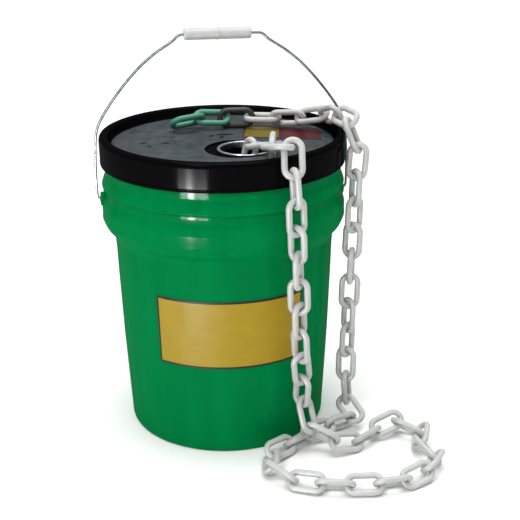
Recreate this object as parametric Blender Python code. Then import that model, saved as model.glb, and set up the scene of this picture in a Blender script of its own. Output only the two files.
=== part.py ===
"""Pail of plastic chain: a round lidded pail with a wire bail, and one strand of chain.

The chain starts at a free end on the lid, goes over the rim beside the right ear, down to the
floor, round a loose loop in front, up over the front rim and in through the hole in the lid.
Metres, +Z up. The pail's axis stands at (PAIL_X, PAIL_Y), and the bail's pivots lie along X.
"""

import math

import bpy
import numpy as np
from mathutils import Matrix, Vector

MM = 0.001
GAP = 0.3 * MM

# Place of the pail's axis, so that the whole object's box is centred on the origin
PAIL_X = -42.4 * MM
PAIL_Y = 52.1 * MM

# Pail
TURN_SIDES = 48
WALL = 2.3 * MM
FOOT_INNER = 119.0 * MM
FOOT_HEIGHT = 3.5 * MM
FLOOR_TOP = 6.0 * MM
PAIL_OUTSIDE = (
    (129.0, 0.0), (131.0, 3.0), (134.6, 73.0), (137.2, 125.0), (139.9, 206.0), (141.0, 246.0),
    (142.4, 256.0), (147.0, 265.5), (152.8, 272.0), (156.0, 281.0), (156.2, 302.0), (154.6, 306.5),
    (150.2, 310.5), (150.0, 320.5), (153.6, 324.0), (154.6, 329.5), (152.6, 335.0), (150.2, 338.0),
    (150.2, 374.0), (151.0, 376.0), (151.0, 386.9),
)
PAIL_INSIDE = (
    (147.6, 386.9), (147.6, 300.0), (145.6, 278.0), (138.8, 256.0), (138.2, 240.0), (129.0, 10.0),
    (125.0, 6.0),
)

# Ears and the holes that the bail's ends sit in
PIVOT_HEIGHT = 307.5 * MM
EAR_RADIUS = 9.0 * MM
EAR_INNER = 149.5 * MM
EAR_OUTER = 157.6 * MM
EAR_HOLE = 2.5 * MM
EAR_HOLE_BOTTOM = 151.0 * MM

# Lid
PANEL_TOP = 377.0 * MM
PANEL_THICK = 2.4 * MM
LID_OUTSIDE = (
    (140.4, 377.0), (142.4, 378.4), (144.8, 388.4), (147.2, 390.0), (152.6, 390.0), (155.2, 388.2),
    (156.2, 384.4), (156.2, 352.0),
)
LID_INSIDE = (
    (153.6, 352.0), (153.5, 384.5), (151.8, 387.3), (147.0, 387.3), (146.5, 371.5), (144.0, 371.5),
    (142.0, 374.6),
)

# Hole in the lid, its ring, and the finger hollow beside it
CHAIN_TURN = math.radians(-6.1)
HOLE_X = 28.0 * MM
HOLE_Y = -44.0 * MM
HOLE_RADIUS = 33.0 * MM
RING_SIDES = 40
RING_OUTER = 35.0 * MM
RING_INNER = 31.0 * MM
RING_THICK = 1.6 * MM
RING_SLEEVE = 32.5 * MM
RING_BOTTOM = 371.0 * MM
HOLLOW_X = -11.5 * MM
HOLLOW_Y = -38.0 * MM
HOLLOW_RADIUS = 13.0 * MM
HOLLOW_DEPTH = 1.4 * MM

# Bail wire and grip, in the plane of the pivots, heights from the pivots
WIRE_RADIUS = 1.8 * MM
BAIL_ROUTE = (
    (152.0, 0.0), (155.5, 0.0), (159.2, 0.6), (161.2, 3.0), (161.8, 8.0), (162.0, 26.0),
    (161.4, 50.0), (160.2, 72.0), (158.4, 86.0), (154.6, 97.0), (147.6, 109.0), (133.6, 129.0),
    (118.0, 148.0), (99.5, 167.5), (79.5, 183.5), (64.0, 193.0), (57.6, 197.4), (53.6, 201.8),
    (49.0, 204.0), (42.0, 204.2),
)
GRIP_LENGTH = 83.0 * MM
GRIP_SHIFT = -3.8 * MM
GRIP_RADIUS = 7.3 * MM
GRIP_BORE = 2.4 * MM
GRIP_SIDES = 20

# Label
LABEL_FROM = math.radians(-37.0)
LABEL_TO = math.radians(42.2)
LABEL_LOW = 122.0 * MM
LABEL_HIGH = 213.0 * MM
LABEL_THICK = 0.5 * MM
LABEL_STEPS = 20

# Heap of hidden chain inside
HEAP_SIDES = 48
HEAP_WALL_LEVEL = 284.0 * MM
HEAP_PEAK = 312.0 * MM
HEAP_PEAK_X = 31.0 * MM
HEAP_PEAK_Y = -49.0 * MM
HEAP_STEM_TOP = 370.0 * MM
HEAP_STEM_FOOT = 9.0 * MM
HEAP_STEM_RADIUS = 7.0 * MM
HEAP_SHOULDER = 258.0 * MM
HEAP_WAIST = 238.0 * MM
HEAP_TOE = 30.0 * MM
HEAP_ROUNDING = 0.8

# One link of chain
STOCK = 7.6 * MM
LINK_WIDTH = 28.0 * MM
LINK_LENGTH = 50.8 * MM
LINK_SIDES = 6
CROWN_STEPS = 5
CROWN = (LINK_WIDTH - STOCK) / 2
CROWN_SPAN = LINK_LENGTH - LINK_WIDTH
TIP_CLEAR = STOCK + 2 * GAP
PITCH = LINK_LENGTH - STOCK - TIP_CLEAR

# Route of the chain's crowns in mm, square to the front of the pail: x, y, z
CHAIN_ROUTE = (
    (-56.0, 51.0, 389.0),
    (-25.0, 64.0, 390.8),
    (21.0, 66.0, 391.2),
    (53.0, 65.0, 391.0),
    (87.0, 56.5, 392.0),
    (118.0, 46.0, 395.5),
    (138.0, 24.0, 408.0),
    (148.0, -4.0, 407.0),
    (166.4, -31.5, 403.7),
    (168.2, -31.7, 379.2),
    (167.8, -34.6, 351.5),
    (165.7, -38.9, 289.7),
    (162.5, -42.0, 200.0),
    (160.0, -46.0, 100.0),
    (158.8, -50.6, 52.6),
    (160.4, -49.5, 35.4),
    (169.4, -55.0, 23.8),
    (174.3, -71.2, 20.4),
    (164.0, -86.4, 17.1),
    (142.6, -90.9, 14.0),
    (131.0, -101.0, 13.5),
    (104.0, -112.0, 13.5),
    (77.0, -137.0, 13.5),
    (54.0, -158.0, 14.6),
    (47.0, -177.0, 15.1),
    (58.0, -200.0, 14.5),
    (83.0, -220.0, 13.5),
    (113.0, -229.0, 13.5),
    (147.0, -232.0, 13.5),
    (181.0, -232.0, 13.5),
    (214.0, -223.0, 13.5),
    (241.0, -207.0, 14.5),
    (258.5, -177.0, 16.5),
    (243.5, -150.0, 17.5),
    (254.0, -122.0, 16.5),
    (236.0, -101.0, 19.0),
    (207.0, -97.0, 16.3),
    (181.0, -119.0, 14.0),
    (156.0, -138.0, 14.0),
    (126.0, -144.0, 21.0),
    (109.0, -135.0, 32.0),
    (99.0, -125.0, 55.0),
    (94.4, -130.0, 97.3),
    (91.2, -137.0, 134.7),
    (88.6, -143.0, 200.0),
    (86.4, -146.5, 260.0),
    (83.5, -153.4, 330.0),
    (81.5, -152.6, 366.0),
    (80.0, -137.5, 402.0),
    (68.0, -121.0, 402.0),
    (54.0, -112.0, 396.0),
    (53.0, -96.0, 396.0),
    (60.0, -80.0, 394.0),
    (47.0, -67.0, 391.5),
    (34.0, -55.5, 381.0),
    (29.0, -48.0, 360.0),
    (28.0, -46.0, 325.0),
    (28.0, -46.0, 285.0),
)

# Each link's roll about its own length in degrees, from facing up (on the lid and the floor) or
# facing the front (where it hangs). A link with no roll of its own stands square to the last one.
LID_ROLLS = (40.0, -12.0, 88.0, 175.0, 58.0, 142.0, 55.0, 130.0)
SIDE_ROLLS = (-40.0, 45.0, -72.0, 35.0, -35.0, 75.0, 0.0, -65.0, 45.0, -27.0, 68.0)
LOOP_LINKS = 20
LOOP_ROLL = 45.0
LOOP_FREE = 3
FRONT_ROLLS = (None, 80.0, -27.0, 45.0, -54.0, 5.0, -70.0, 45.0, -30.0, 75.0, 0.0)
HOLE_ROLLS = (0.0, 90.0, 0.0)
ROUTE_STEPS = 12
FIT_ROUNDS = 8
SLIDE_MOST = 5.0 * MM
SLIDE_LEAST = -8.0 * MM
SLIDE_STEP = 0.2 * MM
EASE_STEP = 0.25
FIRST_STEP = 8
BAR_CROWN_STEPS = 16
BAR_STRAIGHT_STEPS = 9


def clear_scene():
    for old in list(bpy.data.objects):
        bpy.data.objects.remove(old, do_unlink=True)


def material(name, colour, roughness, metallic=0.0):
    made = bpy.data.materials.new(name)
    made.use_nodes = True
    shader = made.node_tree.nodes["Principled BSDF"]
    shader.inputs["Base Color"].default_value = (*colour, 1.0)
    shader.inputs["Roughness"].default_value = roughness
    shader.inputs["Metallic"].default_value = metallic
    return made


def add_object(name, points, faces, finish, smooth_angle=30.0):
    mesh = bpy.data.meshes.new(name)
    mesh.from_pydata([tuple(p) for p in points], [], faces)
    mesh.validate()
    mesh.shade_smooth()
    mesh.set_sharp_from_angle(angle=math.radians(smooth_angle))
    mesh.materials.append(finish)
    made = bpy.data.objects.new(name, mesh)
    bpy.context.collection.objects.link(made)
    return made


def turned(name, profile, sides, finish, centre=(0.0, 0.0)):
    """A closed ring profile of (radius, height) pairs in metres, turned about a vertical axis."""
    points = []
    for step in range(sides):
        angle = 2 * math.pi * step / sides
        points += [(centre[0] + r * math.cos(angle), centre[1] + r * math.sin(angle), z)
                   for r, z in profile]
    count = len(profile)
    faces = []
    for step in range(sides):
        here, there = step * count, (step + 1) % sides * count
        for k in range(count):
            after = (k + 1) % count
            faces.append((here + k, here + after, there + after, there + k))
    return add_object(name, points, faces, finish)


def turned_solid(name, outline, sides, finish):
    """An open profile from the axis at the bottom round to the axis at the top, turned solid."""
    ring = outline[1:-1]
    points = [(0.0, 0.0, outline[0][1])]
    for r, z in ring:
        points += [(r * math.cos(2 * math.pi * s / sides), r * math.sin(2 * math.pi * s / sides), z)
                   for s in range(sides)]
    points.append((0.0, 0.0, outline[-1][1]))
    faces = []
    for s in range(sides):
        after = (s + 1) % sides
        faces.append((0, 1 + after, 1 + s))
        for row in range(len(ring) - 1):
            low, high = 1 + row * sides, 1 + (row + 1) * sides
            faces.append((low + s, low + after, high + after, high + s))
        last = 1 + (len(ring) - 1) * sides
        faces.append((last + s, last + after, len(points) - 1))
    return add_object(name, points, faces, finish)


def cylinder_between(name, radius, start, end, sides):
    """A plain round bar, used to add to or cut from another piece."""
    start, end = Vector(start), Vector(end)
    bpy.ops.mesh.primitive_cylinder_add(vertices=sides, radius=radius, depth=(end - start).length,
                                        location=(start + end) / 2)
    bar = bpy.context.object
    bar.name = name
    bar.rotation_euler = (end - start).to_track_quat("Z", "Y").to_euler()
    bar.hide_render = True
    bar.display_type = "WIRE"
    return bar


def boolean(target, tool, operation):
    step = target.modifiers.new(tool.name, "BOOLEAN")
    step.operation = operation
    step.object = tool
    step.solver = "EXACT"


def from_pail(x, y, z):
    """A place given square to the front of the pail, as a world place."""
    turn = Matrix.Rotation(CHAIN_TURN, 3, "Z")
    return turn @ Vector((x, y, z)) + Vector((PAIL_X, PAIL_Y, 0.0))


def scaled(pairs):
    return [(r * MM, z * MM) for r, z in pairs]


def make_pail():
    outline = [(0.0, FOOT_HEIGHT), (FOOT_INNER - 1.5 * MM, FOOT_HEIGHT), (FOOT_INNER, 0.0)]
    outline += scaled(PAIL_OUTSIDE) + scaled(PAIL_INSIDE) + [(0.0, FLOOR_TOP)]
    pail = turned_solid("pail", outline, TURN_SIDES, material("green_plastic", (0.0, 0.2, 0.045), 0.35))
    pail.location = (PAIL_X, PAIL_Y, 0.0)
    for side, word in ((-1, "left"), (1, "right")):
        ear = cylinder_between("ear_" + word, EAR_RADIUS,
                               (PAIL_X + side * EAR_INNER, PAIL_Y, PIVOT_HEIGHT),
                               (PAIL_X + side * EAR_OUTER, PAIL_Y, PIVOT_HEIGHT), 16)
        boolean(pail, ear, "UNION")
        hole = cylinder_between("ear_hole_" + word, EAR_HOLE,
                                (PAIL_X + side * EAR_HOLE_BOTTOM, PAIL_Y, PIVOT_HEIGHT),
                                (PAIL_X + side * (EAR_OUTER + WALL), PAIL_Y, PIVOT_HEIGHT), 12)
        boolean(pail, hole, "DIFFERENCE")
    return pail


def make_lid():
    outline = [(0.0, PANEL_TOP - PANEL_THICK)]
    outline += scaled(reversed(LID_INSIDE)) + scaled(reversed(LID_OUTSIDE)) + [(0.0, PANEL_TOP)]
    lid = turned_solid("lid", outline, TURN_SIDES, material("black_plastic", (0.006, 0.006, 0.007), 0.2))
    lid.location = (PAIL_X, PAIL_Y, 0.0)
    hole = cylinder_between("lid_hole", HOLE_RADIUS,
                            from_pail(HOLE_X, HOLE_Y, PANEL_TOP - 8 * MM),
                            from_pail(HOLE_X, HOLE_Y, PANEL_TOP + 8 * MM), RING_SIDES)
    boolean(lid, hole, "DIFFERENCE")
    hollow = cylinder_between("lid_hollow", HOLLOW_RADIUS,
                              from_pail(HOLLOW_X, HOLLOW_Y, PANEL_TOP - HOLLOW_DEPTH),
                              from_pail(HOLLOW_X, HOLLOW_Y, PANEL_TOP + 8 * MM), 24)
    boolean(lid, hollow, "DIFFERENCE")
    return lid


def make_ring():
    low = PANEL_TOP + GAP
    profile = [(RING_INNER, RING_BOTTOM), (RING_SLEEVE, RING_BOTTOM), (RING_SLEEVE, low),
               (RING_OUTER, low), (RING_OUTER - 0.5 * MM, low + RING_THICK),
               (RING_INNER + 0.4 * MM, low + RING_THICK), (RING_INNER, low + RING_THICK - 0.6 * MM)]
    ring = turned("hole_ring", profile[::-1], RING_SIDES, material("ring_metal", (0.6, 0.62, 0.64), 0.3, 1.0))
    ring.location = from_pail(HOLE_X, HOLE_Y, 0.0)
    ring.rotation_euler = (0.0, 0.0, CHAIN_TURN)
    return ring


def wall_radius(z):
    """The pail's outer radius at a height, by straight runs between its profile's points."""
    heights = [p[1] * MM for p in PAIL_OUTSIDE]
    radii = [p[0] * MM for p in PAIL_OUTSIDE]
    return float(np.interp(z, heights, radii))


def make_label():
    inner, outer = [], []
    for step in range(LABEL_STEPS + 1):
        turn = LABEL_FROM + (LABEL_TO - LABEL_FROM) * step / LABEL_STEPS + CHAIN_TURN
        for z in (LABEL_LOW, PAIL_OUTSIDE[3][1] * MM, LABEL_HIGH):
            for shell, extra in ((inner, GAP), (outer, GAP + LABEL_THICK)):
                r = wall_radius(z) + extra
                shell.append((r * math.sin(turn), -r * math.cos(turn), z))
    rows, half = 3, len(inner)
    faces = []
    for step in range(LABEL_STEPS):
        for row in range(rows - 1):
            a = step * rows + row
            b = a + rows
            faces.append((half + a, half + b, half + b + 1, half + a + 1))
            faces.append((a, a + 1, b + 1, b))
        for row, swap in ((0, False), (rows - 1, True)):
            a = step * rows + row
            b = a + rows
            face = (a, b, half + b, half + a)
            faces.append(tuple(reversed(face)) if swap else face)
    for step, swap in ((0, True), (LABEL_STEPS, False)):
        for row in range(rows - 1):
            a = step * rows + row
            face = (a, a + 1, half + a + 1, half + a)
            faces.append(tuple(reversed(face)) if swap else face)
    label = add_object("label", inner + outer, faces, material("label_film", (0.6, 0.45, 0.04), 0.4))
    label.location = (PAIL_X, PAIL_Y, 0.0)
    return label


def make_heap():
    """The hidden chain as one plain heap, with a plain stem for the links that hang in the hole."""
    inside = sorted((z * MM, r * MM) for r, z in PAIL_INSIDE)
    peak = from_pail(HEAP_PEAK_X, HEAP_PEAK_Y, 0.0) - Vector((PAIL_X, PAIL_Y, 0.0))
    edge = 2 * GAP

    def radius_at(z):
        return float(np.interp(z, [p[0] for p in inside], [p[1] for p in inside])) - edge

    base = FLOOR_TOP + edge
    rings = [(radius_at(z), z) for z in (base, HEAP_TOE, HEAP_WAIST, HEAP_SHOULDER, HEAP_WALL_LEVEL)]
    points = [(0.0, 0.0, base)]
    angles = [2 * math.pi * s / HEAP_SIDES for s in range(HEAP_SIDES)]
    for r, z in rings:
        points += [(r * math.cos(a), r * math.sin(a), z) for a in angles]
    top = rings[-1][0]
    shares = (0.8, 0.6, 0.4, 0.2)
    for share in shares:
        height = HEAP_WALL_LEVEL + (HEAP_PEAK - HEAP_WALL_LEVEL) * (1 - share) ** HEAP_ROUNDING
        points += [(peak.x * (1 - share) + share * top * math.cos(a),
                    peak.y * (1 - share) + share * top * math.sin(a), height) for a in angles]
    stem = ((HEAP_STEM_FOOT, HEAP_PEAK), (HEAP_STEM_RADIUS, HEAP_STEM_TOP))
    for r, z in stem:
        points += [(peak.x + r * math.cos(a), peak.y + r * math.sin(a), z) for a in angles]
    points.append((peak.x, peak.y, HEAP_STEM_TOP))
    faces = []
    loops = len(rings) + len(shares) + len(stem)
    for s in range(HEAP_SIDES):
        after = (s + 1) % HEAP_SIDES
        faces.append((0, 1 + after, 1 + s))
        for row in range(loops - 1):
            low, high = 1 + row * HEAP_SIDES, 1 + (row + 1) * HEAP_SIDES
            faces.append((low + s, low + after, high + after, high + s))
        last = 1 + (loops - 1) * HEAP_SIDES
        faces.append((last + s, last + after, len(points) - 1))
    heap = add_object("chain_heap", points, faces, material("chain_plastic", (0.62, 0.62, 0.6), 0.45))
    heap.location = (PAIL_X, PAIL_Y, 0.0)
    return heap


def make_bail():
    right = [(x * MM, z * MM) for x, z in BAIL_ROUTE]
    route = right + [(-x, z) for x, z in reversed(right)]
    curve = bpy.data.curves.new("bail_wire", "CURVE")
    curve.dimensions = "3D"
    curve.bevel_depth = WIRE_RADIUS
    curve.bevel_resolution = 2
    curve.use_fill_caps = True
    spline = curve.splines.new("POLY")
    spline.points.add(len(route) - 1)
    for point, (x, z) in zip(spline.points, route):
        point.co = (x, 0.0, z, 1.0)
    curve.materials.append(material("bail_steel", (0.2, 0.2, 0.22), 0.35, 1.0))
    bail = bpy.data.objects.new("bail_wire", curve)
    bpy.context.collection.objects.link(bail)
    bail.location = (PAIL_X, PAIL_Y, PIVOT_HEIGHT)
    return bail


def make_grip(bail):
    half = GRIP_LENGTH / 2
    round_off = 1.2 * MM
    profile = [(GRIP_BORE, -half), (GRIP_RADIUS - round_off, -half), (GRIP_RADIUS, round_off - half),
               (GRIP_RADIUS, half - round_off), (GRIP_RADIUS - round_off, half), (GRIP_BORE, half)]
    grip = turned("grip", profile[::-1], GRIP_SIDES, material("grip_plastic", (0.8, 0.8, 0.8), 0.4))
    grip.parent = bail
    grip.rotation_euler = (0.0, math.pi / 2, 0.0)
    grip.location = (GRIP_SHIFT, 0.0, BAIL_ROUTE[-1][1] * MM)
    return grip


def link_curve():
    """The middle line of one link's bar, long way along X and face along Z, as (point, tangent)."""
    line = []
    for side in (1, -1):
        for step in range(CROWN_STEPS + 1):
            angle = math.pi * step / CROWN_STEPS - math.pi / 2
            spot = (side * (CROWN_SPAN / 2 + CROWN * math.cos(angle)), side * CROWN * math.sin(angle))
            line.append(spot)
    return line


def link_mesh():
    line = link_curve()
    count = len(line)
    points = []
    for k, (x, y) in enumerate(line):
        before, after = line[k - 1], line[(k + 1) % count]
        along = Vector((after[0] - before[0], after[1] - before[1])).normalized()
        outward = Vector((along.y, -along.x))
        for s in range(LINK_SIDES):
            angle = 2 * math.pi * (s + 0.5) / LINK_SIDES
            reach = STOCK / 2 * math.cos(angle)
            points.append((x + outward.x * reach, y + outward.y * reach, STOCK / 2 * math.sin(angle)))
    faces = []
    for k in range(count):
        here, there = k * LINK_SIDES, (k + 1) % count * LINK_SIDES
        for s in range(LINK_SIDES):
            after = (s + 1) % LINK_SIDES
            faces.append((here + s, there + s, there + after, here + after))
    return points, faces


def catmull(values, share, k):
    """A smooth value between values[k] and values[k + 1]."""
    last = len(values) - 1
    a, b = values[max(k - 1, 0)], values[k]
    c, d = values[k + 1], values[min(k + 2, last)]
    return 0.5 * (2 * b + (c - a) * share + (2 * a - 5 * b + 4 * c - d) * share ** 2
                  + (3 * b - a - 3 * c + d) * share ** 3)


def smooth_route():
    """The chain's route as points at small steps along one smooth curve."""
    spots = np.array(CHAIN_ROUTE) * MM
    path = [catmull(spots, step / ROUTE_STEPS, k)
            for k in range(len(spots) - 1) for step in range(ROUTE_STEPS)]
    return np.array(path)


def link_turns():
    """Which way each link faces before it is rolled, and its roll, from the free end on."""
    up, front = np.array([0.0, 0.0, 1.0]), np.array([0.0, -1.0, 0.0])
    turns = [(up, roll) for roll in LID_ROLLS] + [(front, roll) for roll in SIDE_ROLLS]
    for number in range(LOOP_LINKS):
        free = number < LOOP_FREE or number >= LOOP_LINKS - 1
        turns.append((up, None if free else LOOP_ROLL + 90.0 * number))
    turns += [(front, roll) for roll in FRONT_ROLLS] + [(up, roll) for roll in HOLE_ROLLS]
    return turns


def unit(vector):
    return vector / np.linalg.norm(vector)


def bar_points(centre, axis, face):
    """The middle line of a placed link's bar, finely stepped, for measuring clearances."""
    across = np.cross(face, axis)
    spots = []
    for side in (1, -1):
        for step in range(BAR_CROWN_STEPS + 1):
            angle = math.pi * step / BAR_CROWN_STEPS - math.pi / 2
            along = side * (CROWN_SPAN / 2 + CROWN * math.cos(angle))
            spots.append(centre + axis * along + across * side * CROWN * math.sin(angle))
    spots.append(spots[0])
    spots = np.array(spots)
    shares = np.linspace(0, 1, BAR_STRAIGHT_STEPS)[:, None]
    turn, last = BAR_CROWN_STEPS, 2 * BAR_CROWN_STEPS + 1
    middle = spots[turn] + (spots[turn + 1] - spots[turn]) * shares
    other = spots[last] + (spots[0] - spots[last]) * shares
    return np.vstack([spots, middle, other])


def nearest(first, second):
    return np.min(np.linalg.norm(first[:, None, :] - second[None, :, :], axis=2))


def face_for(axis, look, roll):
    flat = unit(look - axis * np.dot(look, axis))
    side = np.cross(axis, flat)
    return flat * math.cos(roll) - side * math.sin(roll)


def drawn_tight(last, ahead, new_face):
    """Where a link's first crown comes to rest when it is drawn ahead through the last link."""
    centre, axis, face = last
    crown = centre + axis * CROWN_SPAN / 2
    old_bars = bar_points(centre, axis, face)
    in_plane = unit(ahead - face * np.dot(ahead, face))
    for slide in np.arange(SLIDE_MOST, SLIDE_LEAST, -SLIDE_STEP):
        start = crown + CROWN * in_plane + ahead * slide
        bars = bar_points(start + ahead * CROWN_SPAN / 2, ahead, new_face)
        if nearest(old_bars, bars) > TIP_CLEAR:
            return start, bars
    return None, None


def next_link(last, target, look, roll):
    """Hang a link in the last one's crown, drawn towards the target until the bars just clear.

    Where the wished roll would bind in the last link, it is eased towards square to it.
    """
    centre, axis, face = last
    start = centre + axis * CROWN_SPAN / 2
    aim = np.array(target)
    ease = 0.0
    for _ in range(FIT_ROUNDS):
        ahead = unit(aim - start)
        square = unit(np.cross(face, ahead))
        wished = square if roll is None else face_for(ahead, look, math.radians(roll))
        square = square if np.dot(square, wished) > 0 else -square
        new_face = unit(wished * (1 - ease) + square * ease)
        found, bars = drawn_tight(last, ahead, new_face)
        if found is None:
            ease = min(1.0, ease + EASE_STEP)
            continue
        start = found
        far_half = bars[(bars - start) @ ahead > CROWN_SPAN / 2]
        sunk = STOCK / 2 - np.min(far_half[:, 2])
        if sunk > 0:
            aim[2] += sunk
    return start + ahead * CROWN_SPAN / 2, ahead, new_face


def lay_chain():
    """Every link's middle, long axis and face, from the free end to the one inside the pail."""
    path = smooth_route()
    turns = link_turns()
    look, roll = turns[0]
    axis = unit(path[FIRST_STEP] - path[0])
    placed = [(path[0] + axis * CROWN_SPAN / 2, axis, face_for(axis, look, math.radians(roll)))]
    reached = 0
    for look, roll in turns[1:]:
        centre, axis, _ = placed[-1]
        crown = centre + axis * CROWN_SPAN / 2
        while reached < len(path) - 1 and np.linalg.norm(path[reached] - crown) < PITCH:
            reached += 1
        placed.append(next_link(placed[-1], path[reached], look, roll))
    return placed


def make_chain():
    points, faces = link_mesh()
    white = material("white_plastic", (0.72, 0.72, 0.7), 0.45)
    green = material("teal_plastic", (0.14, 0.38, 0.3), 0.4)
    dark = material("dark_plastic", (0.03, 0.03, 0.035), 0.4)
    finishes = [green, green, dark]
    for number, (centre, axis, face) in enumerate(lay_chain()):
        across = np.cross(face, axis)
        name = "link_%02d" % (number + 1)
        finish = finishes[number] if number < len(finishes) else white
        link = add_object(name, points, faces, finish, 60.0)
        turn = Matrix.Rotation(CHAIN_TURN, 3, "Z")
        frame = Matrix((axis, across, face)).transposed()
        link.matrix_world = Matrix.Translation(from_pail(*centre)) @ (turn @ frame).to_4x4()


def main():
    clear_scene()
    make_pail()
    make_lid()
    make_ring()
    make_label()
    make_heap()
    bail = make_bail()
    make_grip(bail)
    make_chain()


main()
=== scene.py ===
import math
import random

import bmesh
import bpy
import numpy as np
from bpy.props import FloatProperty, FloatVectorProperty, IntProperty, PointerProperty
from bpy.types import Operator, Panel, PropertyGroup
from mathutils import Matrix, Vector


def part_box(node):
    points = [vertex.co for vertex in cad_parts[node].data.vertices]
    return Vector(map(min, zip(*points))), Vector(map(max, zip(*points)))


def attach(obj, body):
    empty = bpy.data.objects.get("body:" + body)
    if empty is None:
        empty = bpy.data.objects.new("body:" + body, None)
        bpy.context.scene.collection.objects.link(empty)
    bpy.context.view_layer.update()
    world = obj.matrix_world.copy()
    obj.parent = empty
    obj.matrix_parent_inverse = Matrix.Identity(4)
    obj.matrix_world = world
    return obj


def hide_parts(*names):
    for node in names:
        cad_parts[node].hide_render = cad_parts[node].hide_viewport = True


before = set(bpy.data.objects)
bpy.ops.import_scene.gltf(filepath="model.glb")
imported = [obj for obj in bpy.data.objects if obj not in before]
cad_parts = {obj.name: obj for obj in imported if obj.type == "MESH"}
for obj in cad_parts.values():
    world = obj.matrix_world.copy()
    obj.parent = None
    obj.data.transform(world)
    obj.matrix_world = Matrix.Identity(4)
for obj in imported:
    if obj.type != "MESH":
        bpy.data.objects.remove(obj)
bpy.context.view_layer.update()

bl_info = {
    "name": "Pail of Chain",
    "version": (1, 0, 0),
    "blender": (4, 5, 0),
    "location": "3D View > Sidebar > Pail of Chain",
    "description": "Builds a lidded pail of plastic chain, one strand laid out in front of it",
    "category": "Object",
}

MM = 0.001
PAIL_LOW, PAIL_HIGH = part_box("pail")
RING_LOW, RING_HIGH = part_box("hole_ring")
GRIP_LOW, GRIP_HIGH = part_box("grip")
AXIS_X = (PAIL_LOW.x + PAIL_HIGH.x) / 2
AXIS_Y = (PAIL_LOW.y + PAIL_HIGH.y) / 2
HOLE_X = (RING_LOW.x + RING_HIGH.x) / 2
HOLE_Y = (RING_LOW.y + RING_HIGH.y) / 2
FRONT_TURN = math.radians(-6.1)
PIVOT_HEIGHT = 307.5 * MM
PANEL_TOP = 377.0 * MM

# Profiles in mm: radius and height, with the rounding of each corner
PAIL_PROFILE = (
    (0.0, 3.5, 0.0), (117.5, 3.5, 1.0), (119.0, 0.0, 0.6), (129.0, 0.0, 0.8), (131.0, 3.0, 1.5),
    (134.6, 73.0, 3.0), (137.2, 125.0, 3.0), (139.9, 206.0, 3.0), (141.0, 246.0, 4.0),
    (142.2, 261.0, 4.0), (145.6, 267.5, 3.0), (152.6, 275.0, 3.0), (156.0, 283.6, 1.4),
    (156.7, 285.6, 0.5), (156.2, 287.4, 0.6), (156.2, 301.5, 1.6), (151.2, 313.5, 2.0),
    (150.4, 324.6, 0.8), (154.9, 326.4, 0.9), (155.2, 328.4, 0.8), (151.0, 340.0, 2.5),
    (150.2, 344.0, 1.4), (150.2, 374.0, 1.0), (151.0, 376.0, 1.0), (151.0, 386.9, 1.4),
    (147.6, 386.9, 1.4),
    (147.6, 300.0, 4.0), (145.6, 278.0, 4.0), (138.8, 256.0, 4.0), (138.2, 240.0, 4.0),
    (129.0, 10.0, 3.0), (125.0, 6.0, 3.0), (0.0, 6.0, 0.0),
)
LID_PROFILE = (
    (0.0, 374.6, 0.0), (142.0, 374.6, 1.2), (144.0, 371.5, 0.8), (146.5, 371.5, 0.8),
    (147.0, 387.3, 0.3), (151.8, 387.3, 0.3), (153.5, 384.5, 0.8), (153.6, 354.5, 0.5),
    (155.7, 354.4, 0.7), (156.2, 357.6, 0.5), (155.8, 358.6, 0.4), (156.2, 384.4, 1.6),
    (155.2, 388.2, 1.6), (152.6, 390.0, 1.4), (147.2, 390.0, 1.2), (144.8, 388.4, 1.6),
    (142.4, 378.4, 1.2), (140.4, 377.0, 1.4), (0.0, 377.0, 0.0),
)
BAIL_ROUTE = (
    (152.0, 0.0, 0.0), (155.5, 0.0, 0.0), (159.2, 0.6, 1.0), (161.2, 3.0, 1.6), (161.8, 8.0, 3.0),
    (162.0, 26.0, 8.0), (161.4, 50.0, 8.0), (160.2, 72.0, 8.0), (158.4, 86.0, 6.0),
    (154.6, 97.0, 6.0), (147.6, 109.0, 8.0), (133.6, 129.0, 10.0), (118.0, 148.0, 10.0),
    (99.5, 167.5, 10.0), (79.5, 183.5, 8.0), (64.0, 193.0, 4.0), (57.6, 197.4, 3.0),
    (53.6, 201.8, 2.5), (49.0, 204.0, 2.0), (42.0, 204.2, 0.0),
)

# Edges bent by more than this many degrees are shown sharp
SHARP_EDGE = 35.0

# Label on the wall, as angles from the pail's front and heights
LABEL_FROM = math.radians(-37.0)
LABEL_TO = math.radians(42.2)
LABEL_LOW = 122.0 * MM
LABEL_HIGH = 213.0 * MM

# Both films laid flat, in mm: size, width of the printed line across and up, width of a cloud
LABEL_SIZE = (192.0, 91.0)
LABEL_LINE = (2.8, 2.8)
LABEL_CLOUD = LABEL_SIZE[0] / 9.0
STICKER_SIZE = (101.0, 57.0)
STICKER_LINE = (2.1424, 2.5742)
STICKER_CLOUD = STICKER_SIZE[0] / 9.0
BUBBLE_SHARE = 9.0 / 55.0
FILM_TOP = 0.75 * MM
FILM_UNDER = 0.35 * MM

# Raised marks on the lid's panel: place, half length and half width in mm, turn in degrees
MOULD_MARKS = (
    (-100.0, -8.0, 4.5, 1.4, 20.0), (-91.0, -27.0, 3.0, 1.2, -30.0), (-71.0, -10.0, 5.0, 1.5, 10.0),
    (4.0, 30.0, 12.0, 2.0, 4.0), (-1.0, 17.0, 3.0, 2.2, 30.0), (-14.0, 24.0, 4.0, 1.4, 60.0),
)

# Corners of the lid's sticker in mm, square to the pail's front
STICKER = ((25.0, 15.0), (126.0, -4.0), (128.0, 52.0), (31.0, 74.0))

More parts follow.
